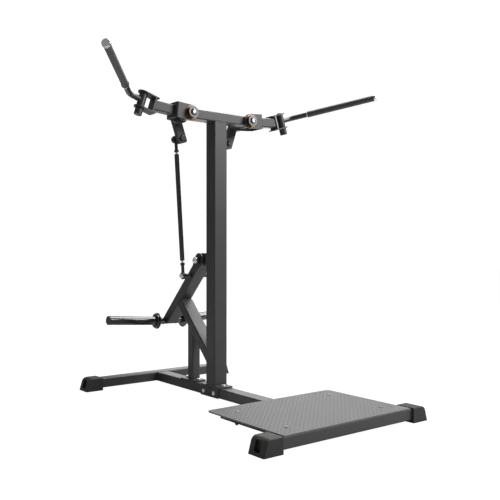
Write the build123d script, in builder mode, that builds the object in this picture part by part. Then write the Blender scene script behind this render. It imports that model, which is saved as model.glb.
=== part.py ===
from build123d import *
import os
from math import cos, radians, sin, sqrt

# Plate-loaded standing pull-down machine, in millimetres, standing on Z = 0.
# +X is to the right of someone who faces the column from the platform, +Y is towards
# the column's back, and the origin is under the middle of the footprint.

# Driving dimensions
TUBE_W, TUBE_H = 75, 50  # main tube section
COLUMN_W = 80
WALL = 3
TUBE_R = 6  # outer corner radius of every rectangular tube
FOOT_Y = 762  # cross tube centres, each side of the origin
RAIL_Z = 37  # height of the base tubes' centreline
COL_Y = 171.5  # column centre
CROSSBAR_Z = 1465  # crossbar centreline, which is also the arm pivots' height
PIVOT_X = 188  # arm pivots, each side of the column
LEVER_PIVOT_Y, LEVER_PIVOT_Z = COL_Y + 112, 720
ARM_RISE = 5  # degrees that the arms rise outwards at rest
PIN_LEAN = 17.7  # degrees that the handle swivels lean outwards

THREAD_GAP = 0.1  # radial gap between a bolt and the nuts and washers on it
SEAT_GAP = 0.05  # gap between stacked washers, nuts and bolt heads
THIN_NUT = 5

BASE_TOP = RAIL_Z + TUBE_H / 2
CROSS_HALF = 450  # half length of each cross tube
SLOPE = sqrt(0.5)  # sine and cosine of the 45 degree members

os.makedirs("parts", exist_ok=True)


def along_x(x, y, z):
    """Plane square to X: its own x runs along +Y and its own y along +Z."""
    return Plane(origin=(x, y, z), x_dir=(0, 1, 0), z_dir=(1, 0, 0))


def along_y(x, y, z):
    """Plane square to Y: its own x runs along -X and its own y along +Z."""
    return Plane(origin=(x, y, z), x_dir=(-1, 0, 0), z_dir=(0, 1, 0))


def tube_section(width, height, wall=WALL):
    """Hollow rectangle with rounded corners, drawn in the current sketch."""
    RectangleRounded(width, height, TUBE_R)
    RectangleRounded(width - 2 * wall, height - 2 * wall, TUBE_R - 3, mode=Mode.SUBTRACT)


def write(builder, label):
    builder.part.label = label
    export_step(builder.part, f"parts/{label}.step")


def write_pair(right, name):
    """Write a right-hand piece and its mirror image."""
    with BuildPart() as left:
        mirror(right.part, about=Plane.YZ)
    write(right, f"right_{name}")
    write(left, f"left_{name}")


def hex_bolt(radius, flats, head, length):
    """Hexagon bolt: head above Z = 0 and shank below it."""
    with BuildPart() as bolt:
        with BuildSketch():
            RegularPolygon(flats / 2, 6, major_radius=False)
        extrude(amount=head)
        chamfer(bolt.faces().sort_by(Axis.Z)[-1].edges(), 0.8)
        with BuildSketch():
            Circle(radius)
        extrude(amount=-length)
    return bolt.part


def button_bolt(radius, head_radius, head, length):
    """Low round head above Z = 0 and shank below it."""
    with BuildPart() as bolt:
        with BuildSketch():
            Circle(head_radius)
        extrude(amount=head)
        fillet(bolt.faces().sort_by(Axis.Z)[-1].edges(), head * 0.6)
        with BuildSketch():
            Circle(radius)
        extrude(amount=-length)
    return bolt.part


def hex_nut(radius, flats, height):
    """Nut above Z = 0 for a bolt of the given radius."""
    with BuildPart() as nut:
        with BuildSketch():
            RegularPolygon(flats / 2, 6, major_radius=False)
            Circle(radius + THREAD_GAP, mode=Mode.SUBTRACT)
        extrude(amount=height)
    return nut.part


def pivot_bolt(radius, half_grip, head_radius, head_height):
    """Domed socket-head pivot bolt, its grip centred on Z = 0 and its head above it."""
    with BuildPart() as bolt:
        Cylinder(radius, 2 * half_grip + 2 * THIN_NUT + 2)
        with BuildSketch(Plane.XZ):
            with BuildLine():
                Polyline((0, half_grip), (head_radius, half_grip), (head_radius, half_grip + 2))
                crown = (radius * 0.8, half_grip + head_height)
                ThreePointArc(
                    (head_radius, half_grip + 2),
                    (head_radius * 0.85, half_grip + head_height * 0.72),
                    crown,
                )
                Polyline(crown, (0, half_grip + head_height), (0, half_grip))
            make_face()
        revolve(axis=Axis.Z)
        with BuildSketch(Plane.XY.offset(half_grip + head_height)):
            RegularPolygon(radius * 0.55, 6)
        extrude(amount=-head_height * 0.6, mode=Mode.SUBTRACT)
    return bolt.part


def washer(outer, radius, thickness):
    """Washer above Z = 0 for a bolt of the given radius."""
    with BuildPart() as ring:
        with BuildSketch():
            Circle(outer)
            Circle(radius + THREAD_GAP, mode=Mode.SUBTRACT)
        extrude(amount=thickness)
        chamfer(ring.faces().sort_by(Axis.Z)[-1].outer_wire().edges(), min(1, thickness * 0.3))
    return ring.part


# Base frame: two cross tubes joined by a split middle rail
for label, y in (("front_cross_tube", -FOOT_Y), ("rear_cross_tube", FOOT_Y)):
    with BuildPart() as cross_tube:
        with BuildSketch(along_x(-CROSS_HALF, y, RAIL_Z)):
            tube_section(TUBE_W, TUBE_H)
        extrude(amount=2 * CROSS_HALF)
    write(cross_tube, label)

JOINT_GAP_FRONT, JOINT_GAP_REAR = COL_Y - 80, COL_Y - 76
RAIL_END = FOOT_Y - TUBE_W / 2
SLEEVE_FRONT, SLEEVE_REAR = COL_Y - 176, COL_Y + 100
SLEEVE_W, SLEEVE_H, SLEEVE_WALL = 68.6, 43.6, 4
JOINT_BOLT_Y = (COL_Y + 8.5 - 46, COL_Y + 8.5 + 46)
JOINT_BOLT_Z = 34
JOINT_PLATE_T = 3
BASE_BOLT_Y = (COL_Y - 63, COL_Y + 63, COL_Y + 168, COL_Y + 276)
BOLT_R, HOLE_R = 6, 6.5

with BuildPart() as front_rail:
    with BuildSketch(along_y(0, -RAIL_END, RAIL_Z)):
        tube_section(TUBE_W, TUBE_H)
    extrude(amount=RAIL_END + JOINT_GAP_FRONT)
write(front_rail, "front_rail")

with BuildPart() as rear_rail:
    with BuildSketch(along_y(0, JOINT_GAP_REAR, RAIL_Z)):
        tube_section(TUBE_W, TUBE_H)
    extrude(amount=RAIL_END - JOINT_GAP_REAR)
    for y in JOINT_BOLT_Y:
        with BuildSketch(along_x(-TUBE_W, y, JOINT_BOLT_Z)):
            Circle(HOLE_R)
        extrude(amount=2 * TUBE_W, mode=Mode.SUBTRACT)
    with BuildSketch(Plane.XY.offset(RAIL_Z)):
        with Locations(*[(0, y) for y in BASE_BOLT_Y]):
            Circle(HOLE_R)
    extrude(amount=TUBE_H, mode=Mode.SUBTRACT)
write(rear_rail, "rear_rail")

with BuildPart() as rail_sleeve:
    with BuildSketch(along_y(0, SLEEVE_FRONT, RAIL_Z)):
        RectangleRounded(SLEEVE_W, SLEEVE_H, TUBE_R - 3)
        Rectangle(SLEEVE_W - 2 * SLEEVE_WALL, SLEEVE_H - 2 * SLEEVE_WALL, mode=Mode.SUBTRACT)
    extrude(amount=SLEEVE_REAR - SLEEVE_FRONT)
    for y in JOINT_BOLT_Y:
        with BuildSketch(along_x(-TUBE_W, y, JOINT_BOLT_Z)):
            Circle(HOLE_R)
        extrude(amount=2 * TUBE_W, mode=Mode.SUBTRACT)
    with BuildSketch(Plane.XY.offset(RAIL_Z)):
        with Locations(*[(0, y) for y in BASE_BOLT_Y[:2]]):
            Circle(HOLE_R)
    extrude(amount=TUBE_H, mode=Mode.SUBTRACT)
write(rail_sleeve, "rail_sleeve")

with BuildPart() as rail_joint_plates:
    for x in (-TUBE_W / 2 - JOINT_PLATE_T, TUBE_W / 2):
        with BuildSketch(along_x(x, COL_Y + 8.5, JOINT_BOLT_Z + 1)):
            RectangleRounded(161, 50, 4)
            with Locations((-46, -1), (46, -1)):
                Circle(HOLE_R, mode=Mode.SUBTRACT)
        extrude(amount=JOINT_PLATE_T)
write(rail_joint_plates, "rail_joint_plates")

# Feet: moulded end caps that lift the cross tubes off the floor
FOOT_IN, FOOT_OUT, FOOT_OUT_TOP, FOOT_TOP = 383, 480, 460, 68
FOOT_HALF = 49
TOP_ROUND, RIM_ROUND = 28, 5
SLOT_IN, SLOT_W, SLOT_LOW, SLOT_HIGH = CROSS_HALF + 4, 40, 12, 60

for end, foot_y in (("front", -FOOT_Y), ("rear", FOOT_Y)):
    with BuildPart() as foot:
        with BuildSketch(Plane(origin=(0, foot_y + FOOT_HALF, 0), x_dir=(1, 0, 0), z_dir=(0, -1, 0))):
            with BuildLine():
                Polyline(
                    (FOOT_IN, 0),
                    (FOOT_OUT, 0),
                    (FOOT_OUT_TOP, FOOT_TOP),
                    (FOOT_IN, FOOT_TOP),
                    close=True,
                )
            make_face()
        extrude(amount=2 * FOOT_HALF)
        top_outer = foot.edges().filter_by(Axis.Y).sort_by(lambda e: e.center().X + e.center().Z)[-1]
        fillet(top_outer, TOP_ROUND)
        rim = foot.faces().filter_by(Axis.Y).edges().filter_by(lambda e: e.center().Z > 1)
        fillet(rim.filter_by(lambda e: e.center().X > FOOT_IN + 1), RIM_ROUND)
        with BuildSketch(along_x(FOOT_IN, foot_y, RAIL_Z)):
            RectangleRounded(TUBE_W, TUBE_H, TUBE_R)
        extrude(amount=CROSS_HALF - FOOT_IN, mode=Mode.SUBTRACT)
        with BuildSketch(along_x(SLOT_IN, foot_y, (SLOT_LOW + SLOT_HIGH) / 2)):
            RectangleRounded(SLOT_W, SLOT_HIGH - SLOT_LOW, 12)
        extrude(amount=FOOT_OUT - SLOT_IN, mode=Mode.SUBTRACT)
    write_pair(foot, f"{end}_foot")

# Column, post and brace, on flanged base plates bolted to the rear rail
PLATE_T = 8
COLUMN_FOOT = BASE_TOP + PLATE_T
CROSSBAR_BOTTOM = CROSSBAR_Z - TUBE_H / 2

with BuildPart() as column:
    with BuildSketch(Plane(origin=(0, COL_Y, COLUMN_FOOT))):
        tube_section(COLUMN_W, COLUMN_W)
    extrude(amount=CROSSBAR_BOTTOM - COLUMN_FOOT)
write(column, "column")

with BuildPart() as base_plates:
    for middle, width, length, spread in ((COL_Y, 84, 176, 63), (COL_Y + 222, TUBE_W, 140, 54)):
        with BuildSketch(Plane(origin=(0, middle, BASE_TOP))):
            RectangleRounded(width, length, 4)
            with Locations((0, -spread), (0, spread)):
                Circle(HOLE_R, mode=Mode.SUBTRACT)
        extrude(amount=PLATE_T)
write(base_plates, "base_plates")

POST_Y, POST_W = COL_Y + 215, 50
BRACE_RISE = 178.5 - COL_Y  # the brace's centreline is Z = Y + BRACE_RISE
BRACE_HALF = TUBE_H / 2 / SLOPE  # half its depth, measured upright
LEVER_SUM = LEVER_PIVOT_Y + LEVER_PIVOT_Z  # the lever's centreline is Y + Z = LEVER_SUM
STOP_PAD_T, STOP_GAP = 6, 0.3
BRACE_SUM = LEVER_SUM - (TUBE_H / 2 + STOP_PAD_T + STOP_GAP) / SLOPE
COLUMN_REAR = COL_Y + COLUMN_W / 2

with BuildPart() as post:
    with BuildSketch(Plane(origin=(0, POST_Y, COLUMN_FOOT))):
        tube_section(POST_W, POST_W)
    extrude(amount=500)
    split(
        bisect_by=Plane(origin=(0, POST_Y, POST_Y + BRACE_RISE - BRACE_HALF), z_dir=(0, -1, 1)),
        keep=Keep.BOTTOM,
    )
write(post, "post")

brace_end_y = (BRACE_SUM - BRACE_RISE) / 2
brace_end = Plane(
    origin=(0, brace_end_y, brace_end_y + BRACE_RISE), x_dir=(1, 0, 0), z_dir=(0, SLOPE, SLOPE)
)

with BuildPart() as brace:
    with BuildSketch(brace_end):
        tube_section(TUBE_W, TUBE_H)
    extrude(amount=-420)
    split(bisect_by=Plane(origin=(0, COLUMN_REAR, 0), z_dir=(0, 1, 0)), keep=Keep.TOP)
write(brace, "brace")

with BuildPart() as lever_stop_pad:
    with BuildSketch(brace_end):
        RectangleRounded(TUBE_W - 4, TUBE_H - 4, TUBE_R)
    extrude(amount=STOP_PAD_T)
write(lever_stop_pad, "lever_stop_pad")

# Crossbar, coped at both ends onto the arm pivot tubes
PIVOT_TUBE_R, PIVOT_R, PIVOT_TUBE_HALF = 30, 12.5, 43

with BuildPart() as crossbar:
    with BuildSketch(along_x(-PIVOT_X + 8, COL_Y, CROSSBAR_Z)):
        tube_section(TUBE_W, TUBE_H)
    extrude(amount=2 * PIVOT_X - 16)
    for x in (-PIVOT_X, PIVOT_X):
        with BuildSketch(along_y(x, COL_Y, CROSSBAR_Z)):
            Circle(PIVOT_TUBE_R)
        extrude(amount=TUBE_W, both=True, mode=Mode.SUBTRACT)
write(crossbar, "crossbar")

with BuildPart() as arm_pivot_tubes:
    for x in (-PIVOT_X, PIVOT_X):
        with BuildSketch(along_y(x, COL_Y, CROSSBAR_Z)):
            Circle(PIVOT_TUBE_R)
            Circle(PIVOT_R, mode=Mode.SUBTRACT)
        extrude(amount=PIVOT_TUBE_HALF, both=True)
write(arm_pivot_tubes, "arm_pivot_tubes")

# Arm pivots: plain bolt through the pivot tube, domed washer in front, nut behind
BRACKET_HALF, BRACKET_T = 50, 6
BUSH_END, WASHER_T, RUN_GAP = 68, 4, 0.4
ARM_GRIP = BUSH_END + RUN_GAP + WASHER_T + SEAT_GAP

with BuildPart() as arm_pivot_bolts:
    for x in (-PIVOT_X, PIVOT_X):
        front = Plane(origin=(x, COL_Y, CROSSBAR_Z), x_dir=(1, 0, 0), z_dir=(0, -1, 0))
        with Locations(front):
            add(pivot_bolt(PIVOT_R, ARM_GRIP, 17, 7))
        with Locations(front.offset(BUSH_END + RUN_GAP)):
            add(washer(29, PIVOT_R, WASHER_T))
        with Locations(front.offset(-BUSH_END - RUN_GAP - 3)):
            add(washer(29, PIVOT_R, 3))
        with Locations(front.offset(-BUSH_END - RUN_GAP - 3 - SEAT_GAP - THIN_NUT)):
            add(hex_nut(PIVOT_R, 36, THIN_NUT))
write(arm_pivot_bolts, "arm_pivot_bolts")

# Lever pivot: a stub off the column's back carries a short cross tube and a bolt
LEVER_TUBE_R, LEVER_PIN_R, LEVER_TUBE_HALF = 25, 10, 30
STUB_W, STUB_H, STUB_Z = 50, 60, LEVER_PIVOT_Z + 8

with BuildPart() as lever_bracket:
    with BuildSketch(along_y(0, COLUMN_REAR, STUB_Z)):
        tube_section(STUB_W, STUB_H, 5)
    extrude(amount=LEVER_PIVOT_Y - COLUMN_REAR)
    with BuildSketch(along_x(0, LEVER_PIVOT_Y, LEVER_PIVOT_Z)):
        Circle(LEVER_TUBE_R)
    extrude(amount=STUB_W, both=True, mode=Mode.SUBTRACT)
    split(bisect_by=Plane(origin=(0, LEVER_PIVOT_Y - 4, 0), z_dir=(0, 1, 0)), keep=Keep.BOTTOM)
    with BuildSketch(along_x(0, LEVER_PIVOT_Y, LEVER_PIVOT_Z)):
        Circle(LEVER_TUBE_R)
        Circle(LEVER_PIN_R, mode=Mode.SUBTRACT)
    extrude(amount=LEVER_TUBE_HALF, both=True)
write(lever_bracket, "lever_bracket")

CHEEK_IN, CHEEK_OUT = 31.5, TUBE_W / 2
LEVER_BUSH_END = 60
LEVER_GRIP = LEVER_BUSH_END + RUN_GAP + WASHER_T + SEAT_GAP

with BuildPart() as lever_pivot_bolt:
    outward = Plane(origin=(0, LEVER_PIVOT_Y, LEVER_PIVOT_Z), x_dir=(0, 1, 0), z_dir=(-1, 0, 0))
    with Locations(outward):
        add(pivot_bolt(LEVER_PIN_R, LEVER_GRIP, 14, 7))
    with Locations(outward.offset(-LEVER_GRIP - THIN_NUT)):
        add(hex_nut(LEVER_PIN_R, 30, THIN_NUT))
    for side in (-1, 1):
        face = Plane(outward.origin, x_dir=(0, 1, 0), z_dir=(side, 0, 0))
        with Locations(face.offset(LEVER_BUSH_END + RUN_GAP)):
            add(washer(18, LEVER_PIN_R, WASHER_T))
write(lever_pivot_bolt, "lever_pivot_bolt")

# Bolts of the rail joint and of the two base plates, with their nuts
SHANK_GAP = TUBE_W / 2 + JOINT_PLATE_T
NUT_TOP = RAIL_Z + SLEEVE_H / 2 - SLEEVE_WALL
RAIL_NUT_TOP = BASE_TOP - WALL

with BuildPart() as frame_bolts:
    for y in JOINT_BOLT_Y:
        left = Plane(origin=(-SHANK_GAP, y, JOINT_BOLT_Z), x_dir=(0, 1, 0), z_dir=(-1, 0, 0))
        right = Plane(origin=(SHANK_GAP, y, JOINT_BOLT_Z), x_dir=(0, 1, 0), z_dir=(1, 0, 0))
        with Locations(left):
            add(hex_bolt(BOLT_R, 19, 8, 2 * SHANK_GAP + 14))
        with Locations(right):
            add(hex_nut(BOLT_R, 19, 10))
    for y, nut_top in zip(BASE_BOLT_Y, (NUT_TOP, NUT_TOP, RAIL_NUT_TOP, RAIL_NUT_TOP)):
        with Locations((0, y, COLUMN_FOOT)):
            add(hex_bolt(BOLT_R, 19, 8, COLUMN_FOOT - nut_top + 12))
        with Locations((0, y, nut_top - 10)):
            add(hex_nut(BOLT_R, 19, 10))
write(frame_bolts, "frame_bolts")

# Platform: tread plate on two bars behind the front cross tube
PLATE_W, PLATE_D, TREAD_T = 742, 521, 6
PLATE_FRONT = -FOOT_Y - TUBE_W / 2
BAR_X, BAR_W, BAR_H = 274, 50, 40
BAR_BOLT_X, BAR_BOLT_Y = 280, (COL_Y - 551, COL_Y - 880)
BAR_BOTTOM = BASE_TOP - BAR_H

bar_bolts = [(x, y) for x in (-BAR_BOLT_X, BAR_BOLT_X) for y in BAR_BOLT_Y]

with BuildPart() as platform_plate:
    with BuildSketch(Plane(origin=(0, PLATE_FRONT + PLATE_D / 2, BASE_TOP))):
        Rectangle(PLATE_W, PLATE_D)
        with Locations(*[(x, y - PLATE_FRONT - PLATE_D / 2) for x, y in bar_bolts]):
            Circle(5.5, mode=Mode.SUBTRACT)
    extrude(amount=TREAD_T)
    uprights = platform_plate.edges().filter_by(Axis.Z).filter_by(lambda e: abs(e.center().X) > 300)
    fillet(uprights.group_by(Axis.Y)[-1], 22)
    fillet(uprights.group_by(Axis.Y)[0], 3)
write(platform_plate, "platform_plate")

with BuildPart() as platform_bars:
    for x in (-BAR_X, BAR_X):
        with BuildSketch(along_y(x, -RAIL_END, BASE_TOP - BAR_H / 2)):
            tube_section(BAR_W, BAR_H)
        extrude(amount=PLATE_FRONT + PLATE_D - 4 + RAIL_END)
    with BuildSketch(Plane.XY):
        with Locations(*bar_bolts):
            Circle(5.5)
    extrude(amount=BASE_TOP + 1, mode=Mode.SUBTRACT)
write(platform_bars, "platform_bars")

with BuildPart() as platform_bolts:
    for x, y in bar_bolts:
        with Locations((x, y, BASE_TOP + TREAD_T)):
            add(button_bolt(5, 8.5, 3.5, BAR_H + TREAD_T + 12))
        with Locations((x, y, BAR_BOTTOM - 8)):
            add(hex_nut(5, 16, 8))
write(platform_bolts, "platform_bolts")

# Weight lever: a 45 degree tube with a forked head at the top and plate horns at the bottom
lever_axis = Plane(
    origin=(0, LEVER_PIVOT_Y, LEVER_PIVOT_Z), x_dir=(1, 0, 0), z_dir=(0, SLOPE, -SLOPE)
)
HEAD_R, WEB_FROM, WEB_TO = 38, 50, 56
APRON_FROM, APRON_T = 15, 4
LEVER_BOTTOM = 353

with BuildPart() as weight_lever_head:
    side = Plane(
        origin=(0, LEVER_PIVOT_Y, LEVER_PIVOT_Z), x_dir=(0, SLOPE, -SLOPE), z_dir=(1, 0, 0)
    )
    with BuildSketch(side):
        with BuildLine():
            CenterArc((0, 0), HEAD_R, 60, 240)
            Polyline(
                (HEAD_R * cos(radians(60)), HEAD_R * sin(radians(60))),
                (WEB_TO, TUBE_H / 2),
                (WEB_TO, -TUBE_H / 2),
                (HEAD_R * cos(radians(60)), -HEAD_R * sin(radians(60))),
            )
        make_face()
    extrude(amount=CHEEK_OUT, both=True)
    with BuildSketch(side):
        with Locations(((WEB_FROM - 100) / 2, 0)):
            Rectangle(WEB_FROM + 100, 120)
    extrude(amount=CHEEK_IN, both=True, mode=Mode.SUBTRACT)
    with BuildSketch(side):
        with Locations(((APRON_FROM + WEB_FROM) / 2, (APRON_T - TUBE_H) / 2)):
            Rectangle(WEB_FROM - APRON_FROM, APRON_T)
    extrude(amount=CHEEK_IN, both=True)
    with BuildSketch(side):
        Circle(14)
    extrude(amount=CHEEK_OUT, both=True, mode=Mode.SUBTRACT)
write(weight_lever_head, "weight_lever_head")

with BuildPart() as weight_lever_tube:
    with BuildSketch(lever_axis.offset(WEB_TO)):
        tube_section(TUBE_W, TUBE_H, 4)
    extrude(amount=520)
    split(bisect_by=Plane.XY.offset(LEVER_BOTTOM), keep=Keep.TOP)
write(weight_lever_tube, "weight_lever_tube")

with BuildPart() as lever_bushes:
    for side in (-1, 1):
        face = Plane(origin=(0, LEVER_PIVOT_Y, LEVER_PIVOT_Z), x_dir=(0, 1, 0), z_dir=(side, 0, 0))
        steps = ((14, CHEEK_IN, CHEEK_OUT), (20, CHEEK_OUT, 41.5), (17, 41.5, LEVER_BUSH_END))
        for radius, start, end in steps:
            with BuildSketch(face.offset(start)):
                Circle(radius)
            extrude(amount=end - start)
        with BuildSketch(face):
            Circle(LEVER_PIN_R + 0.05)
        extrude(amount=LEVER_BUSH_END, mode=Mode.SUBTRACT)
write(lever_bushes, "lever_bushes")

HORN_Y, HORN_Z, HORN_TILT = COL_Y + 470, 368, 3.8
HORN_R, HORN_START, HORN_END, HORN_WALL = 25, 60, 346, 6
DISC_T, DISC_GAP, HUB_STUB_R = 7, 3, 20
horn_axis = Plane(
    origin=(TUBE_W / 2, HORN_Y, HORN_Z),
    x_dir=(0, 1, 0),
    z_dir=(cos(radians(HORN_TILT)), 0, sin(radians(HORN_TILT))),
)

with BuildPart() as plate_horn:
    with BuildSketch(horn_axis.offset(HORN_START)):
        Circle(HORN_R)
        Circle(HORN_R - HORN_WALL, mode=Mode.SUBTRACT)
    extrude(amount=HORN_END - HORN_START)
write_pair(plate_horn, "plate_horn")

with BuildPart() as horn_flanges:
    for disc_r, start in ((41, HORN_START), (46, HORN_START - DISC_T - DISC_GAP)):
        with BuildSketch(horn_axis.offset(start)):
            Circle(disc_r)
        extrude(amount=-DISC_T)
    chamfer(horn_flanges.edges().filter_by(GeomType.CIRCLE), 1.5)
    with BuildSketch(horn_axis.offset(HORN_START - DISC_T)):
        Circle(HORN_R)
    extrude(amount=-DISC_GAP)
    with BuildSketch(horn_axis.offset(HORN_START - 2 * DISC_T - DISC_GAP)):
        Circle(HUB_STUB_R)
    extrude(amount=-HORN_START)
    split(bisect_by=Plane.YZ.offset(TUBE_W / 2), keep=Keep.TOP)
    mirror(about=Plane.YZ)
write(horn_flanges, "horn_flanges")

with BuildPart() as horn_caps:
    with BuildSketch(horn_axis.offset(HORN_END)):
        Circle(HORN_R)
    extrude(amount=10)
    fillet(horn_caps.edges().sort_by(Axis.X)[-1], 7)
    with BuildSketch(horn_axis.offset(HORN_END)):
        Circle(HORN_R - HORN_WALL)
    extrude(amount=-18)
    mirror(about=Plane.YZ)
write(horn_caps, "horn_caps")

# Connecting rods, from the lever's sides up to the arm cranks
CRANK_R, CRANK_LEAN = 112, 19
ROD_PIN_Y = COL_Y + 158
LOW_X, LOW_Y, LOW_Z = 88, COL_Y + 186, 636
HIGH_X = PIVOT_X - CRANK_R * sin(radians(CRANK_LEAN))
HIGH_Z = CROSSBAR_Z - CRANK_R * cos(radians(CRANK_LEAN))
low_pin = Vector(LOW_X, LOW_Y, LOW_Z)
high_pin = Vector(HIGH_X, ROD_PIN_Y, HIGH_Z)
rod_line = high_pin - low_pin
ROD_LENGTH = rod_line.length
rod_axis = Plane(
    origin=low_pin, x_dir=Vector(1, 0, 0) - rod_line * (rod_line.X / ROD_LENGTH**2), z_dir=rod_line
)
BALL_R, BALL_HALF, ROD_BOLT_R = 13, 10, 6
EYE_R, EYE_HALF = 19, 7
HIGH_EYE_R, HIGH_BORE_R = 21, 14.5
SHANK_R, STUD_R, STUD_GRIP = 8.5, 6, 18
LOW_SHANK, LOW_NUT, LOW_TUBE = 58, 12, 83
HIGH_SHANK, HIGH_NUT, HIGH_TUBE = 56, 11, 77
ROD_R, ROD_WALL, ROD_PLUG = 12.5, 3, 25

with BuildPart() as rod_lower_bolts:
    outward = Plane(origin=(0, LOW_Y, LOW_Z), x_dir=(0, 1, 0), z_dir=(1, 0, 0))
    with BuildSketch(outward.offset(TUBE_W / 2)):
        Circle(11)
        Circle(ROD_BOLT_R + THREAD_GAP, mode=Mode.SUBTRACT)
    extrude(amount=LOW_X - BALL_HALF - RUN_GAP - TUBE_W / 2)
    with Locations(outward.offset(LOW_X + BALL_HALF + RUN_GAP)):
        add(hex_bolt(ROD_BOLT_R, 19, 8, LOW_X + BALL_HALF + RUN_GAP - TUBE_W / 2))
    mirror(about=Plane.YZ)
write(rod_lower_bolts, "rod_lower_bolts")

with BuildPart() as rod_ball:
    with Locations(tuple(low_pin)):
        Sphere(BALL_R)
    with BuildSketch(outward.offset(LOW_X)):
        Circle(ROD_BOLT_R + 0.05)
    extrude(amount=BALL_R, both=True, mode=Mode.SUBTRACT)
    split(bisect_by=outward.offset(LOW_X + BALL_HALF), keep=Keep.BOTTOM)
    split(bisect_by=outward.offset(LOW_X - BALL_HALF), keep=Keep.TOP)
write_pair(rod_ball, "rod_ball")

low_eye = Plane(origin=low_pin, x_dir=-rod_axis.z_dir, z_dir=rod_axis.x_dir)
high_eye = Plane(origin=high_pin, x_dir=rod_axis.z_dir, z_dir=rod_axis.y_dir)

with BuildPart() as rod_lower_end:
    with BuildSketch(low_eye):
        Circle(EYE_R)
    extrude(amount=EYE_HALF, both=True)
    with BuildSketch(rod_axis):
        Circle(SHANK_R)
    extrude(amount=LOW_SHANK)
    with BuildSketch(rod_axis):
        Circle(STUD_R)
    extrude(amount=LOW_TUBE + STUD_GRIP)
    with Locations(low_eye):
        Sphere(BALL_R + 0.4, mode=Mode.SUBTRACT)
    with Locations(rod_axis.offset(LOW_SHANK + SEAT_GAP)):
        add(hex_nut(STUD_R, 24, LOW_NUT))
write_pair(rod_lower_end, "rod_lower_end")

with BuildPart() as rod_upper_end:
    with BuildSketch(high_eye):
        Circle(HIGH_EYE_R)
    extrude(amount=EYE_HALF, both=True)
    with BuildSketch(rod_axis.offset(ROD_LENGTH)):
        Circle(SHANK_R)
    extrude(amount=-HIGH_SHANK)
    with BuildSketch(rod_axis.offset(ROD_LENGTH)):
        Circle(STUD_R)
    extrude(amount=-HIGH_TUBE - STUD_GRIP)
    with BuildSketch(high_eye):
        Circle(HIGH_BORE_R)
    extrude(amount=2 * EYE_R, both=True, mode=Mode.SUBTRACT)
    with Locations(rod_axis.offset(ROD_LENGTH - HIGH_SHANK - HIGH_NUT - SEAT_GAP)):
        add(hex_nut(STUD_R, 24, HIGH_NUT))
write_pair(rod_upper_end, "rod_upper_end")

with BuildPart() as rod_tube:
    with BuildSketch(rod_axis.offset(LOW_TUBE)):
        Circle(ROD_R)
        Circle(ROD_R - ROD_WALL, mode=Mode.SUBTRACT)
    extrude(amount=ROD_LENGTH - LOW_TUBE - HIGH_TUBE)
    for plug_start in (LOW_TUBE, ROD_LENGTH - HIGH_TUBE - ROD_PLUG):
        with BuildSketch(rod_axis.offset(plug_start)):
            Circle(ROD_R - ROD_WALL)
            Circle(STUD_R + THREAD_GAP, mode=Mode.SUBTRACT)
        extrude(amount=ROD_PLUG)
write_pair(rod_tube, "rod_tube")

# Swinging arm: forked bracket, arm tube, bushes, crank behind and clevis at the outer end
rise = radians(ARM_RISE)
arm_out = Vector(cos(rise), 0, sin(rise))
WEB_IN, WEB_OUT, FORK_R = 80, 86, 39


def arm_side(y):
    """Upright plane along the right arm: its own x runs outwards along the arm, y up."""
    return Plane(origin=(PIVOT_X, COL_Y + y, CROSSBAR_Z), x_dir=arm_out, z_dir=(0, -1, 0))


with BuildPart() as arm_bracket:
    with BuildSketch(arm_side(0)):
        Circle(FORK_R)
        with Locations((WEB_OUT / 2, 0)):
            Rectangle(WEB_OUT, 2 * FORK_R)
    extrude(amount=BRACKET_HALF, both=True)
    corners = arm_bracket.faces().sort_by(Axis.X)[-1].edges().filter_by(
        lambda e: abs(e.tangent_at(0.5).Y) < 0.1
    )
    fillet(corners, 9)
    with BuildSketch(arm_side(0)):
        with Locations((WEB_IN - 100, 0)):
            Rectangle(200, 3 * FORK_R)
    extrude(amount=BRACKET_HALF - BRACKET_T, both=True, mode=Mode.SUBTRACT)
    with BuildSketch(arm_side(0)):
        Circle(20)
    extrude(amount=BRACKET_HALF, both=True, mode=Mode.SUBTRACT)
write_pair(arm_bracket, "arm_bracket")

with BuildPart() as arm_bushes:
    for side in (-1, 1):
        face = Plane(origin=(PIVOT_X, COL_Y, CROSSBAR_Z), x_dir=(1, 0, 0), z_dir=(0, side, 0))
        for radius, start, end in ((20, 44, BRACKET_HALF), (35, BRACKET_HALF, 54), (28, 54, BUSH_END)):
            with BuildSketch(face.offset(start)):
                Circle(radius)
            extrude(amount=end - start)
        with BuildSketch(face):
            Circle(PIVOT_R + 0.05)
        extrude(amount=BUSH_END, mode=Mode.SUBTRACT)
    chamfer(arm_bushes.edges().filter_by(GeomType.CIRCLE).filter_by(lambda e: e.radius > 34), 1)
write_pair(arm_bushes, "arm_bushes")

# Handle swivel frame: x_dir outwards, z_dir up along the leaning pin
lean = radians(PIN_LEAN)
SWIVEL_X, SWIVEL_Z = 442.5, 1501
swivel = Plane(
    origin=(SWIVEL_X, COL_Y, SWIVEL_Z),
    x_dir=(cos(lean), 0, sin(lean)),
    z_dir=(-sin(lean), 0, cos(lean)),
)
HUB_R, HUB_HALF, SWIVEL_PIN_R = 20, 35, 8
EAR_IN, EAR_OUT, EAR_HALF_W = 35.5, 41.5, 30
BACK_IN, BACK_OUT, EAR_BACK = -61, -55, -76
back_plane = Plane(origin=swivel.from_local_coords((BACK_IN, 0, 0)), z_dir=swivel.x_dir)

with BuildPart() as arm_tube:
    start = Plane(
        origin=arm_side(0).from_local_coords((WEB_OUT, 0, 0)), x_dir=(0, 1, 0), z_dir=arm_out
    )
    with BuildSketch(start):
        tube_section(TUBE_H, TUBE_H)
    extrude(amount=160)
    split(bisect_by=back_plane, keep=Keep.BOTTOM)
write_pair(arm_tube, "arm_tube")

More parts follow.
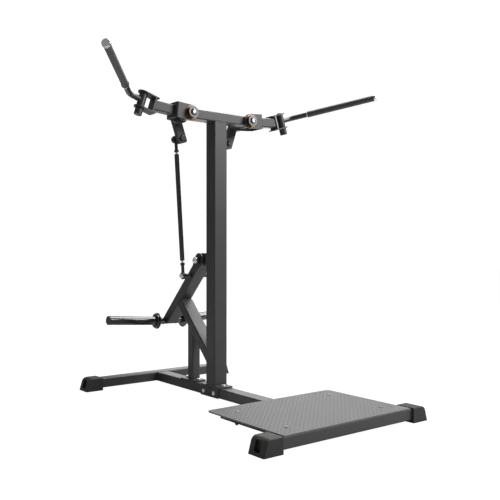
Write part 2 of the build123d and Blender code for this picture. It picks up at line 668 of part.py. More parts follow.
with BuildPart() as clevis:
    for low, high in ((-EAR_OUT, -EAR_IN), (EAR_IN, EAR_OUT)):
        with BuildSketch(swivel.offset(low)):
            Circle(EAR_HALF_W)
            with Locations((EAR_BACK / 2, 0)):
                Rectangle(-EAR_BACK, 2 * EAR_HALF_W)
            Circle(SWIVEL_PIN_R, mode=Mode.SUBTRACT)
        extrude(amount=high - low)
    with BuildSketch(swivel.offset(-EAR_IN)):
        with Locations(((BACK_IN + BACK_OUT) / 2, 0)):
            Rectangle(BACK_OUT - BACK_IN, 2 * EAR_HALF_W)
    extrude(amount=2 * EAR_IN)
write_pair(clevis, "clevis")

# The swivel pin's collar hangs below the lower ear and its low head stands on the upper one
with BuildPart() as swivel_pin:
    with BuildSketch(swivel.offset(-EAR_OUT)):
        Circle(SWIVEL_PIN_R)
    extrude(amount=2 * EAR_OUT)
    with BuildSketch(swivel.offset(-EAR_OUT)):
        Circle(HUB_R)
    extrude(amount=-36)
    chamfer(swivel_pin.edges().filter_by(GeomType.CIRCLE).sort_by(Axis.Z)[0], 2)
    with BuildSketch(swivel.offset(EAR_OUT)):
        Circle(13)
    extrude(amount=5)
    fillet(swivel_pin.edges().filter_by(GeomType.CIRCLE).sort_by(Axis.Z)[-1], 3)
write_pair(swivel_pin, "swivel_pin")

# Crank: a cup welded behind the bracket, closed by the lever that takes the rod
CUP_OUT_R, CUP_IN_R = FORK_R, 36.5
CRANK_FRONT, CRANK_BACK = 92, 121
CRANK_W, CRANK_TAIL = 46, 27

crank_dir = Vector(-sin(radians(CRANK_LEAN)), 0, -cos(radians(CRANK_LEAN)))


def crank_side(y):
    """Upright plane through the arm pivot: its own x runs down the crank."""
    return Plane(origin=(PIVOT_X, COL_Y + y, CROSSBAR_Z), x_dir=crank_dir, z_dir=(0, 1, 0))


with BuildPart() as crank_lever:
    with BuildSketch(crank_side(BRACKET_HALF)):
        Circle(CUP_OUT_R)
    extrude(amount=CRANK_FRONT - BRACKET_HALF)
    with BuildSketch(crank_side(BRACKET_HALF)):
        Circle(CUP_IN_R)
    extrude(amount=CRANK_FRONT - BRACKET_HALF - 4, mode=Mode.SUBTRACT)
    with BuildSketch(crank_side(CRANK_FRONT)):
        with Locations(((CRANK_R + CRANK_TAIL) / 2 - 12, 0)):
            RectangleRounded(CRANK_R + CRANK_TAIL + 24, CRANK_W, 11)
    extrude(amount=CRANK_BACK - CRANK_FRONT)
    with BuildSketch(crank_side(CRANK_FRONT + 4)):
        with Locations((CRANK_R + CRANK_TAIL - 4 - 60, 0)):
            Rectangle(120, CRANK_W - 8)
    extrude(amount=CRANK_BACK - CRANK_FRONT - 8, mode=Mode.SUBTRACT)
    with BuildSketch(crank_side(CRANK_FRONT)):
        with Locations((CRANK_R, 0)):
            Circle(ROD_BOLT_R)
    extrude(amount=CRANK_BACK - CRANK_FRONT, mode=Mode.SUBTRACT)
write_pair(crank_lever, "crank_lever")

# Crank bolt: through the crank, then spacer, front washer, rod eye, rear washer and nut
EYE_FRONT, EYE_REAR = 147, 173

with BuildPart() as crank_bolt:
    front = Plane(origin=(HIGH_X, COL_Y + CRANK_FRONT, HIGH_Z), x_dir=(1, 0, 0), z_dir=(0, -1, 0))
    back = Plane(origin=(HIGH_X, COL_Y, HIGH_Z), x_dir=(1, 0, 0), z_dir=(0, 1, 0))
    with Locations(front):
        add(hex_bolt(ROD_BOLT_R, 26, 10, EYE_REAR + 20 - CRANK_FRONT))
    with Locations(back.offset(CRANK_BACK)):
        add(washer(12, ROD_BOLT_R, EYE_FRONT - 3 - CRANK_BACK))
    with Locations(back.offset(EYE_FRONT - 3 + SEAT_GAP)):
        add(washer(19, ROD_BOLT_R, 3))
    with Locations(back.offset(EYE_REAR)):
        add(washer(19, ROD_BOLT_R, 3))
    with Locations(back.offset(EYE_REAR + 3 + SEAT_GAP)):
        add(hex_nut(ROD_BOLT_R, 19, 11))
write_pair(crank_bolt, "crank_bolt")

# Handle: hub tube on the swivel pin, bent bar, rubber grip and its metal fittings
ELBOW = (70, 0)
GRIP_END = (393, -375)
GRIP_LENGTH, GRIP_R, BAR_R = 386, 17, 14
BAR_WALL = 2.5
RING_R, RING_T, CAP_T = 20, 4, 8
grip_run = Vector(GRIP_END[0] - ELBOW[0], GRIP_END[1] - ELBOW[1], 0).normalized()


def on_swivel(point):
    return swivel.from_local_coords((point.X, point.Y, 0))


grip_dir = on_swivel(grip_run) - on_swivel(Vector(0, 0, 0))
grip_tip = Vector(*GRIP_END, 0) - grip_run * CAP_T
grip_axis = Plane(origin=on_swivel(grip_tip), z_dir=grip_dir)

with BuildPart() as handle_bar:
    with BuildLine():
        FilletPolyline(
            swivel.from_local_coords((0, 0, 0)),
            swivel.from_local_coords((*ELBOW, 0)),
            grip_axis.origin,
            radius=45,
        )
    with BuildSketch(Plane(origin=swivel.origin, z_dir=swivel.x_dir)):
        Circle(BAR_R)
        Circle(BAR_R - BAR_WALL, mode=Mode.SUBTRACT)
    sweep()
    with BuildSketch(swivel.offset(-HUB_HALF)):
        Circle(HUB_R)
    extrude(amount=2 * HUB_HALF)
    with BuildSketch(swivel.offset(-HUB_HALF)):
        Circle(SWIVEL_PIN_R + 0.05)
    extrude(amount=2 * HUB_HALF, mode=Mode.SUBTRACT)
write_pair(handle_bar, "handle_bar")

with BuildPart() as hand_grip:
    with BuildSketch(grip_axis.offset(-RING_T)):
        Circle(GRIP_R)
        Circle(BAR_R, mode=Mode.SUBTRACT)
    extrude(amount=-(GRIP_LENGTH - 2 * RING_T))
write_pair(hand_grip, "hand_grip")

with BuildPart() as grip_fittings:
    for start in (0, -(GRIP_LENGTH - RING_T)):
        with BuildSketch(grip_axis.offset(start)):
            Circle(RING_R)
            Circle(BAR_R, mode=Mode.SUBTRACT)
        extrude(amount=-RING_T)
    with BuildSketch(grip_axis):
        Circle(RING_R - 1)
    extrude(amount=CAP_T)
    chamfer(grip_fittings.faces().sort_by(Axis.Y)[0].edges(), 1.2)
write_pair(grip_fittings, "grip_fittings")
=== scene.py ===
import math

import bpy
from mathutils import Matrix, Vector


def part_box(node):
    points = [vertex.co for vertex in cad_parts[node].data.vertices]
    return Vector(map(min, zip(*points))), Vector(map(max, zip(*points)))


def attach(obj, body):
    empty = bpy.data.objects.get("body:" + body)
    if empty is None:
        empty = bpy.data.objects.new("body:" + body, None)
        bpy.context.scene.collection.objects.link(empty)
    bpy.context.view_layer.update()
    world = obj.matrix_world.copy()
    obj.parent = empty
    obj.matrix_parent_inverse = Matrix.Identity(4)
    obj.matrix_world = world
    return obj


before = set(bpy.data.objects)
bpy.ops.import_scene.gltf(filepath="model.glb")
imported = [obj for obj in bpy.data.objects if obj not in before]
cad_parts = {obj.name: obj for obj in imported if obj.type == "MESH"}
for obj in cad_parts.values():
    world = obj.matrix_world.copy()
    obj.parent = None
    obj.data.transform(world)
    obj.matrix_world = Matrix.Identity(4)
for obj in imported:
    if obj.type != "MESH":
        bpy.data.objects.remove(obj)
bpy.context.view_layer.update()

# ---- Welded frame: column, crossbar, rails, cross tubes, post, brace and their plates.
# Rolled steel tube and plate, welded, then powder coated a satin near-black. The coat has a
# fine orange peel, cloudy handling marks, and thins a little along the edges.


def effect_group(name, inputs, outputs):
    """Empty shader node group; inputs and outputs are (name, socket type, default)."""
    group = bpy.data.node_groups.new(name, "ShaderNodeTree")
    for side, sockets in (("INPUT", inputs), ("OUTPUT", outputs)):
        for label, kind, default in sockets:
            socket = group.interface.new_socket(label, in_out=side, socket_type=kind)
            if side == "INPUT":
                socket.default_value = default
    return group, group.nodes.new("NodeGroupInput"), group.nodes.new("NodeGroupOutput")


def node_in(tree, kind, **settings):
    """New node. A setting is a property, or an input by name or by _index: a value or a socket."""
    node = tree.nodes.new(kind)
    for key, value in settings.items():
        if hasattr(node, key):
            setattr(node, key, value)
            continue
        socket = node.inputs[int(key[1:]) if key.startswith("_") else key.replace("_", " ")]
        if isinstance(value, bpy.types.NodeSocket):
            tree.links.new(value, socket)
        else:
            socket.default_value = value
    return node


# Grain: fine pits or peel, as a height, with a broad cloudiness as a mask
grain, grain_in, grain_out = effect_group(
    "surface grain",
    [("Pitch", "NodeSocketFloat", 900.0), ("Cloud Pitch", "NodeSocketFloat", 9.0)],
    [("Height", "NodeSocketFloat", 0), ("Cloud", "NodeSocketFloat", 0)],
)
place = node_in(grain, "ShaderNodeTexCoord").outputs["Object"]
fine = node_in(
    grain, "ShaderNodeTexNoise", Vector=place, Scale=grain_in.outputs["Pitch"], Detail=2.0
)
broad = node_in(
    grain, "ShaderNodeTexNoise", Vector=place, Scale=grain_in.outputs["Cloud Pitch"], Detail=5.0
)
grain.links.new(fine.outputs[0], grain_out.inputs["Height"])
grain.links.new(broad.outputs[0], grain_out.inputs["Cloud"])

# Edge rub and sheen: a mask along outside edges, broken up by patchy noise. It lightens edges as
# wear, and on the feet also as a painted highlight of the bright rim along them.
rub_and_sheen, rub_and_sheen_in, rub_and_sheen_out = effect_group(
    "edge rub and sheen",
    [("Width", "NodeSocketFloat", 0.0015), ("Patch Pitch", "NodeSocketFloat", 60.0)],
    [("Mask", "NodeSocketFloat", 0)],
)
rounded = node_in(rub_and_sheen, "ShaderNodeBevel", samples=4, Radius=rub_and_sheen_in.outputs["Width"])
facing = node_in(rub_and_sheen, "ShaderNodeNewGeometry").outputs["Normal"]
turn = node_in(
    rub_and_sheen, "ShaderNodeVectorMath", operation="DOT_PRODUCT", _0=rounded.outputs[0], _1=facing
)
EDGE_STARTS, EDGE_FULL = 0.985, 0.8
edge = node_in(rub_and_sheen, "ShaderNodeMapRange", Value=turn.outputs["Value"])
edge.inputs["From Min"].default_value = EDGE_STARTS
edge.inputs["From Max"].default_value = EDGE_FULL
rub_and_sheen_place = node_in(rub_and_sheen, "ShaderNodeTexCoord").outputs["Object"]
patch = node_in(
    rub_and_sheen, "ShaderNodeTexNoise", Vector=rub_and_sheen_place, Scale=rub_and_sheen_in.outputs["Patch Pitch"], Detail=4.0
)
PATCH_STARTS, PATCH_FULL = 0.42, 0.62
patchy = node_in(rub_and_sheen, "ShaderNodeMapRange", Value=patch.outputs[0])
patchy.inputs["From Min"].default_value = PATCH_STARTS
patchy.inputs["From Max"].default_value = PATCH_FULL
both = node_in(
    rub_and_sheen, "ShaderNodeMath", operation="MULTIPLY", _0=edge.outputs[0], _1=patchy.outputs[0]
)
rub_and_sheen.links.new(both.outputs[0], rub_and_sheen_out.inputs["Mask"])


COAT_ROUGHNESS = 0.12


def finish_material(
    name,
    dark,
    light,
    edge_wear_and_sheen,
    rough,
    metallic=0.0,
    pitch=900.0,
    cloud_pitch=9.0,
    bump=0.15,
    bump_depth=0.0002,
    rub_and_sheen_width=0.0015,
    edge_wear_and_sheen_amount=0.5,
    coat=0.0,
):
    """Principled finish: colour wanders from dark to light; edges lighten as wear, and on the feet
    also as a painted highlight.
    """
    mat = bpy.data.materials.new(name)
    mat.use_nodes = True
    tree = mat.node_tree
    shader = tree.nodes["Principled BSDF"]
    shader.inputs["Metallic"].default_value = metallic
    shader.inputs["Coat Weight"].default_value = coat
    shader.inputs["Coat Roughness"].default_value = COAT_ROUGHNESS
    skin = node_in(tree, "ShaderNodeGroup", node_tree=grain, Pitch=pitch, Cloud_Pitch=cloud_pitch)
    edge_rub_and_sheen = node_in(tree, "ShaderNodeGroup", node_tree=rub_and_sheen, Width=rub_and_sheen_width)
    tone = node_in(tree, "ShaderNodeMix", data_type="RGBA", _0=skin.outputs["Cloud"])
    tone.inputs[6].default_value = (*dark, 1)
    tone.inputs[7].default_value = (*light, 1)
    # Edges blend towards the edge colour: wear, and on the feet a painted highlight of the bright
    # rim along their edges.
    rub_and_sheen_amount = node_in(tree, "ShaderNodeMath", operation="MULTIPLY", _0=edge_rub_and_sheen.outputs[0], _1=edge_wear_and_sheen_amount)
    rubbed_and_sheened = node_in(tree, "ShaderNodeMix", data_type="RGBA", _0=rub_and_sheen_amount.outputs[0])
    tree.links.new(tone.outputs[2], rubbed_and_sheened.inputs[6])
    rubbed_and_sheened.inputs[7].default_value = (*edge_wear_and_sheen, 1)
    tree.links.new(rubbed_and_sheened.outputs[2], shader.inputs["Base Color"])
    gloss = node_in(tree, "ShaderNodeMapRange", Value=skin.outputs["Cloud"])
    gloss.inputs["To Min"].default_value = rough[0]
    gloss.inputs["To Max"].default_value = rough[1]
    tree.links.new(gloss.outputs[0], shader.inputs["Roughness"])
    relief = node_in(
        tree, "ShaderNodeBump", Strength=bump, Distance=bump_depth, Height=skin.outputs["Height"]
    )
    tree.links.new(relief.outputs[0], shader.inputs["Normal"])
    return mat


def dress(material, *names):
    """Give CAD nodes this material."""
    for name in names:
        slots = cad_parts[name].data.materials
        slots.clear()
        slots.append(material)


frame_coat = finish_material(
    "satin charcoal powder coat",
    dark=(0.020, 0.0205, 0.0215),
    light=(0.030, 0.0305, 0.032),
    edge_wear_and_sheen=(0.10, 0.10, 0.105),
    rough=(0.42, 0.56),
    edge_wear_and_sheen_amount=0.45,
)
dress(
    frame_coat,
    "front_cross_tube",
    "rear_cross_tube",
    "front_rail",
    "rear_rail",
    "rail_sleeve",
    "rail_joint_plates",
    "column",
    "base_plates",
    "post",
    "brace",
    "crossbar",
    "arm_pivot_tubes",
    "lever_bracket",
    "platform_bars",
)

# ---- Weld beads: the fillets left where a tube's end is welded to the piece it stands on.
# Each is a row of overlapping ripples, laid by hand and coated over with the frame.
BEAD_STEP, BEAD_R, BEAD_SIDES = 0.0026, 0.0028, 8


def add_piece(name, verts, faces, material, body, smooth=True):
    """New mesh piece that moves with a body."""
    mesh = bpy.data.meshes.new(name)
    mesh.from_pydata(verts, [], faces)
    if smooth:
        mesh.shade_smooth()
    mesh.materials.append(material)
    piece = bpy.data.objects.new(name, mesh)
    bpy.context.collection.objects.link(piece)
    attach(piece, body)


def weld_bead(name, corners):
    """Rippled bead round a closed run of corners, coated with the frame."""
    path = []
    for a, b in zip(corners, corners[1:] + corners[:1]):
        a, b = Vector(a), Vector(b)
        steps = max(2, int((b - a).length / BEAD_STEP))
        path += [a.lerp(b, i / steps) for i in range(steps)]
    rings, verts, faces = len(path), [], []
    for i, p in enumerate(path):
        along = (path[(i + 1) % rings] - path[i - 1]).normalized()
        side = along.orthogonal().normalized()
        up = along.cross(side)
        swell = BEAD_R * (0.82 + 0.18 * (i % 2) + 0.05 * math.sin(i * 1.7))
        for j in range(BEAD_SIDES):
            angle = math.tau * j / BEAD_SIDES
            verts.append(p + swell * (math.cos(angle) * side + math.sin(angle) * up))
    for i in range(rings):
        for j in range(BEAD_SIDES):
            k, m = (j + 1) % BEAD_SIDES, (i + 1) % rings
            here, ahead = i * BEAD_SIDES, m * BEAD_SIDES
            faces.append((here + j, here + k, ahead + k, ahead + j))
    add_piece(name, verts, faces, frame_coat, "frame")


SEAM_CORNER, SEAM_INSET = 0.004, 0.001


def seam(centre, up, half_width, half_height):
    """Corners of a chamfered rectangle round a tube's end, in the plane of X and up."""
    centre, across, up = Vector(centre), Vector((1, 0, 0)), Vector(up)
    corner, w, h = SEAM_CORNER, half_width - SEAM_INSET, half_height - SEAM_INSET
    steps = (
        (corner - w, -h),
        (w - corner, -h),
        (w, corner - h),
        (w, h - corner),
        (w - corner, h),
        (corner - w, h),
        (-w, h - corner),
        (-w, corner - h),
    )
    return [centre + a * across + b * up for a, b in steps]


def level_seam(node, z):
    """Seam round an upright tube at height z."""
    low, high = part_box(node)
    centre = ((low[0] + high[0]) / 2, (low[1] + high[1]) / 2, z)
    return seam(centre, (0, 1, 0), (high[0] - low[0]) / 2, (high[1] - low[1]) / 2)


TUBE_HALF_W, TUBE_HALF_H = 0.0375, 0.025
STUB_HALF_W, STUB_HALF_H = 0.025, 0.030
BRACE_CUT_HALF = TUBE_HALF_H * math.sqrt(2)
UPRIGHT = (0, 0, 1)
column_low, column_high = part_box("column")
column_back = column_high[1]
stub_middle = (0, column_back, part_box("lever_bracket")[1][2] - STUB_HALF_H)
brace_middle = (0, column_back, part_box("brace")[0][2] + BRACE_CUT_HALF)
rail_low, rail_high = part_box("rear_rail")
rail_z = (rail_low[2] + rail_high[2]) / 2
weld_bead("weld_column_foot", level_seam("column", column_low[2]))
weld_bead("weld_column_head", level_seam("column", column_high[2]))
weld_bead("weld_post_foot", level_seam("post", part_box("post")[0][2]))
weld_bead("weld_stub", seam(stub_middle, UPRIGHT, STUB_HALF_W, STUB_HALF_H))
weld_bead("weld_brace", seam(brace_middle, UPRIGHT, TUBE_HALF_W, BRACE_CUT_HALF))
for bead_name, rail_end in (
    ("weld_front_rail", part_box("front_rail")[0][1]),
    ("weld_rear_rail", rail_high[1]),
):
    weld_bead(bead_name, seam((0, rail_end, rail_z), UPRIGHT, TUBE_HALF_W, TUBE_HALF_H))

# The crossbar's coped ends follow the pivot tubes round
PIVOT_X, PIVOT_Y, PIVOT_Z = 0.188, 0.1715, 1.465
COPE_R, COPE_STEPS = 0.030, 8
for side_name, side in (("left", -1), ("right", 1)):
    cope = []
    for face_side in (-1, 1):
        for k in range(COPE_STEPS + 1):
            rise = face_side * TUBE_HALF_H * (1 - 2 * k / COPE_STEPS)
            x = side * (PIVOT_X - math.sqrt(COPE_R**2 - rise**2))
            cope.append((x, PIVOT_Y + face_side * TUBE_HALF_W, PIVOT_Z + rise))
    weld_bead(f"weld_crossbar_{side_name}", cope)

# ---- Standing platform: a steel tread plate, bolted on two bars and to the front cross tube.
# Its top has small raised lozenges in rows and a greyer, rough anti-slip coat.
tread_coat = finish_material(
    "grey anti-slip coat",
    dark=(0.085, 0.086, 0.088),
    light=(0.135, 0.136, 0.138),
    edge_wear_and_sheen=(0.2, 0.2, 0.2),
    rough=(0.55, 0.75),
    pitch=650.0,
    cloud_pitch=14.0,
    bump=0.5,
    bump_depth=0.0006,
    edge_wear_and_sheen_amount=0.6,
)
dress(tread_coat, "platform_plate")

LOZENGE_PITCH, LOZENGE_LONG, LOZENGE_WIDE, LOZENGE_HIGH = 0.012, 0.0047, 0.0017, 0.0008
LOZENGE_SUNK, LOZENGE_RIDGE = 0.0002, 0.45
EDGE_MARGIN, CORNER_MARGIN, BOLT_MARGIN = 0.014, 0.03, 0.016
BOLT_HEAD_R = 0.0085
plate_low, plate_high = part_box("platform_plate")
bolt_low, bolt_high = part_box("platform_bolts")
bolt_centres = [
    (x, y)
    for x in (bolt_low[0] + BOLT_HEAD_R, bolt_high[0] - BOLT_HEAD_R)
    for y in (bolt_low[1] + BOLT_HEAD_R, bolt_high[1] - BOLT_HEAD_R)
]
lozenge_verts, lozenge_faces = [], []
columns = int((plate_high[0] - plate_low[0] - 2 * EDGE_MARGIN) / LOZENGE_PITCH)
rows = int((plate_high[1] - plate_low[1] - 2 * EDGE_MARGIN) / LOZENGE_PITCH)
for i in range(columns + 1):
    for j in range(rows + 1):
        cx = plate_low[0] + EDGE_MARGIN + i * LOZENGE_PITCH
        cy = plate_low[1] + EDGE_MARGIN + j * LOZENGE_PITCH
        if any(math.hypot(cx - bx, cy - by) < BOLT_MARGIN for bx, by in bolt_centres):
            continue
        if abs(cx) > plate_high[0] - CORNER_MARGIN and cy > plate_high[1] - CORNER_MARGIN:
            continue
        tilt = math.radians(45 if (i + j) % 2 else -45)
        first = len(lozenge_verts)
        for along, across in ((1, 0), (0, 1), (-1, 0), (0, -1)):
            dx, dy = along * LOZENGE_LONG, across * LOZENGE_WIDE
            x = cx + dx * math.cos(tilt) - dy * math.sin(tilt)
            y = cy + dx * math.sin(tilt) + dy * math.cos(tilt)
            lozenge_verts.append((x, y, plate_high[2] - LOZENGE_SUNK))
        for along in (LOZENGE_RIDGE, -LOZENGE_RIDGE):
            dx = along * LOZENGE_LONG
            x, y = cx + dx * math.cos(tilt), cy + dx * math.sin(tilt)
            lozenge_verts.append((x, y, plate_high[2] + LOZENGE_HIGH))
        a, b, c, d, e, f = range(first, first + 6)
        lozenge_faces += [(a, b, e), (b, c, f, e), (c, d, f), (d, a, e, f)]
add_piece(
    "tread_lozenges", lozenge_verts, lozenge_faces, tread_coat, "frame", smooth=False
)

# ---- Feet: moulded rubber caps pushed over the cross tubes' ends.
# Matt warm black, a coarse spark texture, edges painted much lighter: partly wear from handling,
# partly a painted highlight of the bright rim of light along them.
foot_rubber = finish_material(
    "moulded foot rubber",
    dark=(0.0075, 0.0068, 0.0060),
    light=(0.0125, 0.0115, 0.0100),
    # Light edge colour: wear, and a painted highlight of the bright rim along the feet's edges.
    edge_wear_and_sheen=(0.095, 0.090, 0.080),
    rough=(0.55, 0.75),
    pitch=420.0,
    cloud_pitch=30.0,
    bump=0.35,
    bump_depth=0.0004,
    rub_and_sheen_width=0.004,
    edge_wear_and_sheen_amount=1.0,
)
dress(foot_rubber, "left_front_foot", "right_front_foot", "left_rear_foot", "right_rear_foot")

# ---- Lever stop: a soft black pad on the brace's upper end, where the weight lever rests.
# Dull rubber with a rough moulded skin.
stop_rubber = finish_material(
    "black stop rubber",
    dark=(0.010, 0.010, 0.010),
    light=(0.017, 0.017, 0.017),
    edge_wear_and_sheen=(0.04, 0.04, 0.04),
    rough=(0.7, 0.85),
    bump=0.4,
)
dress(stop_rubber, "lever_stop_pad")

# ---- Fasteners: hexagon bolts and nuts of the base, platform, rods and cranks.
# Zinc plated, bright, with a faint cloud in the plating and dull flanks.
zinc = finish_material(
    "bright zinc plate",
    dark=(0.66, 0.67, 0.68),
    light=(0.84, 0.85, 0.85),
    edge_wear_and_sheen=(0.9, 0.9, 0.9),
    rough=(0.22, 0.38),
    metallic=0.5,
    cloud_pitch=70.0,
    bump=0.1,
)
dress(zinc, "frame_bolts", "lever_pivot_bolt", "rod_lower_bolts")


tread_bolt_zinc = finish_material(
    "dull zinc tread bolt",
    dark=(0.16, 0.16, 0.165),
    light=(0.24, 0.24, 0.245),
    edge_wear_and_sheen=(0.5, 0.5, 0.5),
    rough=(0.4, 0.55),
    metallic=0.6,
    cloud_pitch=70.0,
)
dress(tread_bolt_zinc, "platform_bolts")


def second_finish(name, material, chosen):
    """Give the faces whose centre satisfies chosen(x, y, z) a second material slot."""
    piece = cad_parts[name]
    piece.data.materials.append(material)
    for polygon in piece.data.polygons:
        if chosen(*(piece.matrix_world @ polygon.center)):
            polygon.material_index = len(piece.data.materials) - 1


black_bolt = finish_material(
    "black oxide bolt",
    dark=(0.022, 0.022, 0.023),
    light=(0.045, 0.045, 0.046),
    edge_wear_and_sheen=(0.25, 0.25, 0.25),
    rough=(0.35, 0.5),
    metallic=0.6,
    cloud_pitch=60.0,
)
dress(black_bolt, "left_crank_bolt", "right_crank_bolt")
SPACER_END = 0.0777
second_finish("rod_lower_bolts", black_bolt, lambda x, y, z: abs(x) < SPACER_END)

# ---- Arm pivots: a bronze bush in each side of the forked bracket turns on a plain bolt.
# The wide washer is a dull grey, the bolt's socket is painted bright zinc as a painted highlight,
# and the bush is oiled bronze.
pivot_steel = finish_material(
    "dull pivot steel",
    dark=(0.050, 0.050, 0.052),
    light=(0.115, 0.115, 0.118),
    edge_wear_and_sheen=(0.55, 0.55, 0.55),
    rough=(0.32, 0.48),
    metallic=1.0,
    cloud_pitch=55.0,
    edge_wear_and_sheen_amount=0.9,
)
bronze = finish_material(
    "oiled bronze",
    dark=(0.085, 0.046, 0.022),
    light=(0.17, 0.095, 0.045),
    edge_wear_and_sheen=(0.80, 0.55, 0.28),
    rough=(0.28, 0.45),
    metallic=1.0,
    cloud_pitch=45.0,
    edge_wear_and_sheen_amount=1.0,
)
SOCKET_HIGHLIGHT_R = 0.0085
dress(pivot_steel, "arm_pivot_bolts")
# A disc of bright zinc round the pivot's axis: a painted highlight in the bolt's socket.
second_finish(
    "arm_pivot_bolts",
    zinc,
    lambda x, y, z: math.hypot(abs(x) - PIVOT_X, z - PIVOT_Z) < SOCKET_HIGHLIGHT_R,
)
dress(bronze, "left_arm_bushes", "right_arm_bushes")
dress(black_bolt, "lever_bushes")

# ---- Swinging arms: forked bracket, tube and clevis, with the crank welded behind the bracket.
# Plate and tube in the frame's coat; the swivel pin's housing is a darker turned part.
dress(frame_coat, "left_arm_bracket", "right_arm_bracket", "left_arm_tube", "right_arm_tube")
dress(frame_coat, "left_clevis", "right_clevis", "left_crank_lever", "right_crank_lever")
housing_black = finish_material(
    "turned black housing",
    dark=(0.014, 0.014, 0.015),
    light=(0.026, 0.026, 0.027),
    edge_wear_and_sheen=(0.12, 0.12, 0.12),
    rough=(0.3, 0.42),
    cloud_pitch=40.0,
)
dress(housing_black, "left_swivel_pin", "right_swivel_pin")

# ---- Handles: bent bar on a hub, in the same coat but a little glossier from the hands.
# A knurled rubber sleeve covers the straight run, held by chromed rings and a ribbed end disc.
bar_coat = finish_material(
    "semi-gloss handle coat",
    dark=(0.013, 0.013, 0.014),
    light=(0.022, 0.022, 0.023),
    edge_wear_and_sheen=(0.09, 0.09, 0.09),
    rough=(0.28, 0.38),
)
grip_rubber = finish_material(
    "knurled grip rubber",
    dark=(0.020, 0.0205, 0.022),
    light=(0.034, 0.0345, 0.037),
    edge_wear_and_sheen=(0.10, 0.10, 0.10),
    rough=(0.42, 0.55),
    pitch=700.0,
    cloud_pitch=25.0,
    bump=0.08,
)
chrome = finish_material(
    "bright chrome",
    dark=(0.62, 0.63, 0.65),
    light=(0.78, 0.79, 0.80),
    edge_wear_and_sheen=(0.85, 0.85, 0.85),
    rough=(0.1, 0.2),
    metallic=1.0,
    bump=0.05,
)
dress(bar_coat, "left_handle_bar", "right_handle_bar")
dress(grip_rubber, "left_hand_grip", "right_hand_grip")
dress(chrome, "left_grip_fittings", "right_grip_fittings")

# ---- Weight lever: forked head, 45 degree tube and two plate horns.
# The lever has the frame's coat. The horns and flanges are glossier, and have plastic end caps.
dress(frame_coat, "weight_lever_head", "weight_lever_tube")
horn_gloss = finish_material(
    "gloss black horn coat",
    dark=(0.012, 0.012, 0.013),
    light=(0.020, 0.020, 0.021),
    edge_wear_and_sheen=(0.12, 0.12, 0.12),
    rough=(0.12, 0.2),
    coat=0.4,
    bump=0.04,
)
cap_plastic = finish_material(
    "grained cap plastic",
    dark=(0.014, 0.014, 0.014),
    light=(0.022, 0.022, 0.022),
    edge_wear_and_sheen=(0.05, 0.05, 0.05),
    rough=(0.4, 0.55),
    pitch=700.0,
    bump=0.3,
)
dress(horn_gloss, "left_plate_horn", "right_plate_horn", "horn_flanges")
dress(cap_plastic, "horn_caps")

# ---- Connecting rods: a tube with a spherical rod end screwed into each end.
# Black coated tube, phosphated rod ends, and a bright ball in the lower eye.
rod_end_black = finish_material(
    "phosphated rod end",
    dark=(0.02, 0.02, 0.021),
    light=(0.04, 0.04, 0.041),
    edge_wear_and_sheen=(0.3, 0.3, 0.3),
    rough=(0.35, 0.5),
    metallic=0.4,
    cloud_pitch=50.0,
)
rod_coat = finish_material(
    "gloss rod coat",
    dark=(0.022, 0.022, 0.023),
    light=(0.036, 0.036, 0.037),
    edge_wear_and_sheen=(0.11, 0.11, 0.11),
    rough=(0.2, 0.3),
    bump=0.05,
)
dress(rod_coat, "left_rod_tube", "right_rod_tube")
dress(rod_end_black, "left_rod_lower_end", "right_rod_lower_end")
dress(rod_end_black, "left_rod_upper_end", "right_rod_upper_end")
dress(chrome, "left_rod_ball", "right_rod_ball")

# Each stud's thread shows between its lock nut and the tube
STUD_R, THREAD_PITCH, THREAD_HEIGHT, TURN_STEPS = 0.0060, 0.0015, 0.0006, 16
LOW_THREAD, HIGH_THREAD = 0.0124, 0.0094
RIM_BAND = 0.004  # a tube's rim vertices lie within this of its lowest or highest one


def tube_ends(node):
    """Middles of an upright tube's lower and upper end, in the world."""
    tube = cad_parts[node]
    points = sorted((tube.matrix_world @ v.co for v in tube.data.vertices), key=lambda p: p.z)
    low_rim = [p for p in points if p.z < points[0].z + RIM_BAND]
    high_rim = [p for p in points if p.z > points[-1].z - RIM_BAND]
    return sum(low_rim, Vector()) / len(low_rim), sum(high_rim, Vector()) / len(high_rim)


def thread_ridge(name, start, end, body):
    """Helical ridge round a stud from start to end."""
    axis = (end - start).normalized()
    length = (end - start).length
    side = axis.orthogonal().normalized()
    up = axis.cross(side)
    steps = int(length / THREAD_PITCH * TURN_STEPS)
    verts, faces = [], []
    for i in range(steps + 1):
        angle = math.tau * i / TURN_STEPS
        out = math.cos(angle) * side + math.sin(angle) * up
        centre = start + axis * (length * i / steps)
        for shift, radius in ((-0.4, STUD_R), (0.0, STUD_R + THREAD_HEIGHT), (0.4, STUD_R)):
            verts.append(centre + axis * (shift * THREAD_PITCH) + out * radius)
    for i in range(steps):
        for j in (0, 1):
            first = 3 * i + j
            faces.append((first, first + 1, first + 4, first + 3))
    add_piece(name, verts, faces, zinc, body)


for side_name in ("left", "right"):
    low_end, high_end = tube_ends(f"{side_name}_rod_tube")
    up_rod = (high_end - low_end).normalized()
    body = f"{side_name}_rod"
    thread_ridge(f"{side_name}_low_thread", low_end - up_rod * LOW_THREAD, low_end, body)
    thread_ridge(f"{side_name}_high_thread", high_end, high_end + up_rod * HIGH_THREAD, body)

# ---- Studio: a white floor that runs into a white surround, soft boxes, and the camera.
# The surround and floor look white to the camera but light the machine only a little, so the
# sides away from the boxes stay dark. Nothing here belongs to the machine.
HALF_FLOOR = 30.0
SURROUND_SEEN, SURROUND_LIGHT = 1.05, 0.30
FLOOR_GLOW, FLOOR_GLOW_SHARE = 1.17, 0.85

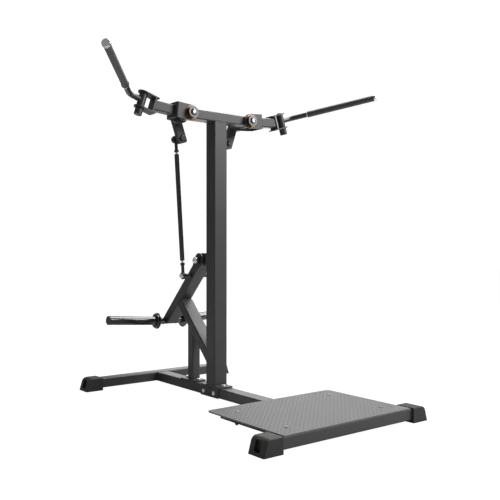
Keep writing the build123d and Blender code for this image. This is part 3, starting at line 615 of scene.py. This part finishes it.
floor_mesh = bpy.data.meshes.new("studio_floor")
floor_signs = ((-1, -1), (1, -1), (1, 1), (-1, 1))
floor_corners = [(x * HALF_FLOOR, y * HALF_FLOOR, 0) for x, y in floor_signs]
floor_mesh.from_pydata(floor_corners, [], [(0, 1, 2, 3)])
floor_paint = bpy.data.materials.new("pale studio floor")
floor_paint.use_nodes = True
floor_tree = floor_paint.node_tree
floor_shader = floor_tree.nodes["Principled BSDF"]
floor_shader.inputs["Base Color"].default_value = (0.6, 0.6, 0.6, 1)
floor_shader.inputs["Roughness"].default_value = 0.9
floor_glow = node_in(floor_tree, "ShaderNodeEmission", Strength=FLOOR_GLOW)
floor_seen = node_in(floor_tree, "ShaderNodeLightPath").outputs["Is Camera Ray"]
floor_share = node_in(
    floor_tree, "ShaderNodeMath", operation="MULTIPLY", _0=floor_seen, _1=FLOOR_GLOW_SHARE
)
floor_mix = node_in(
    floor_tree,
    "ShaderNodeMixShader",
    _0=floor_share.outputs[0],
    _1=floor_shader.outputs[0],
    _2=floor_glow.outputs[0],
)
floor_tree.links.new(floor_mix.outputs[0], floor_tree.nodes["Material Output"].inputs["Surface"])
floor_mesh.materials.append(floor_paint)
floor = bpy.data.objects.new("studio_floor", floor_mesh)
bpy.context.collection.objects.link(floor)

world = bpy.data.worlds.new("studio")
world.use_nodes = True
surround = world.node_tree.nodes["Background"]
surround.inputs["Color"].default_value = (1, 1, 1, 1)
surround_seen = node_in(world.node_tree, "ShaderNodeLightPath").outputs["Is Camera Ray"]
surround_level = node_in(world.node_tree, "ShaderNodeMapRange", Value=surround_seen)
surround_level.inputs["To Min"].default_value = SURROUND_LIGHT
surround_level.inputs["To Max"].default_value = SURROUND_SEEN
world.node_tree.links.new(surround_level.outputs[0], surround.inputs["Strength"])
bpy.context.scene.world = world
bpy.context.scene.view_settings.view_transform = "Standard"


def soft_box(name, place, aim, size, power):
    """Square area light that the camera doesn't see."""
    light = bpy.data.lights.new(name, "AREA")
    light.shape = "SQUARE"
    light.size = size
    light.energy = power
    lamp = bpy.data.objects.new(name, light)
    lamp.location = place
    lamp.rotation_euler = (Vector(aim) - Vector(place)).to_track_quat("-Z", "Y").to_euler()
    lamp.visible_camera = False
    bpy.context.collection.objects.link(lamp)


soft_box("key", (2.6, -2.8, 3.3), (0, 0.1, 1.7), 2.2, 200)
soft_box("top", (1.6, 0.2, 4.0), (0, 0, 0.4), 2.6, 205)
soft_box("back", (2.8, 3.6, 1.3), (0, 0, 0.1), 2.6, 60)

CAMERA_PLACE = Vector((-2.0739, -2.7705, 0.7662))
HEADING, PITCH_UP = math.radians(37.98), math.radians(0.13)
FOCAL_MM, SENSOR_MM, FAR_CLIP = 49.35, 36.0, 100.0
lens = bpy.data.cameras.new("camera")
lens.lens = FOCAL_MM
lens.sensor_width = SENSOR_MM
lens.clip_end = FAR_CLIP
camera = bpy.data.objects.new("camera", lens)
camera.location = CAMERA_PLACE
camera.rotation_euler = (math.pi / 2 + PITCH_UP, 0, -HEADING)
bpy.context.collection.objects.link(camera)
bpy.context.scene.camera = camera
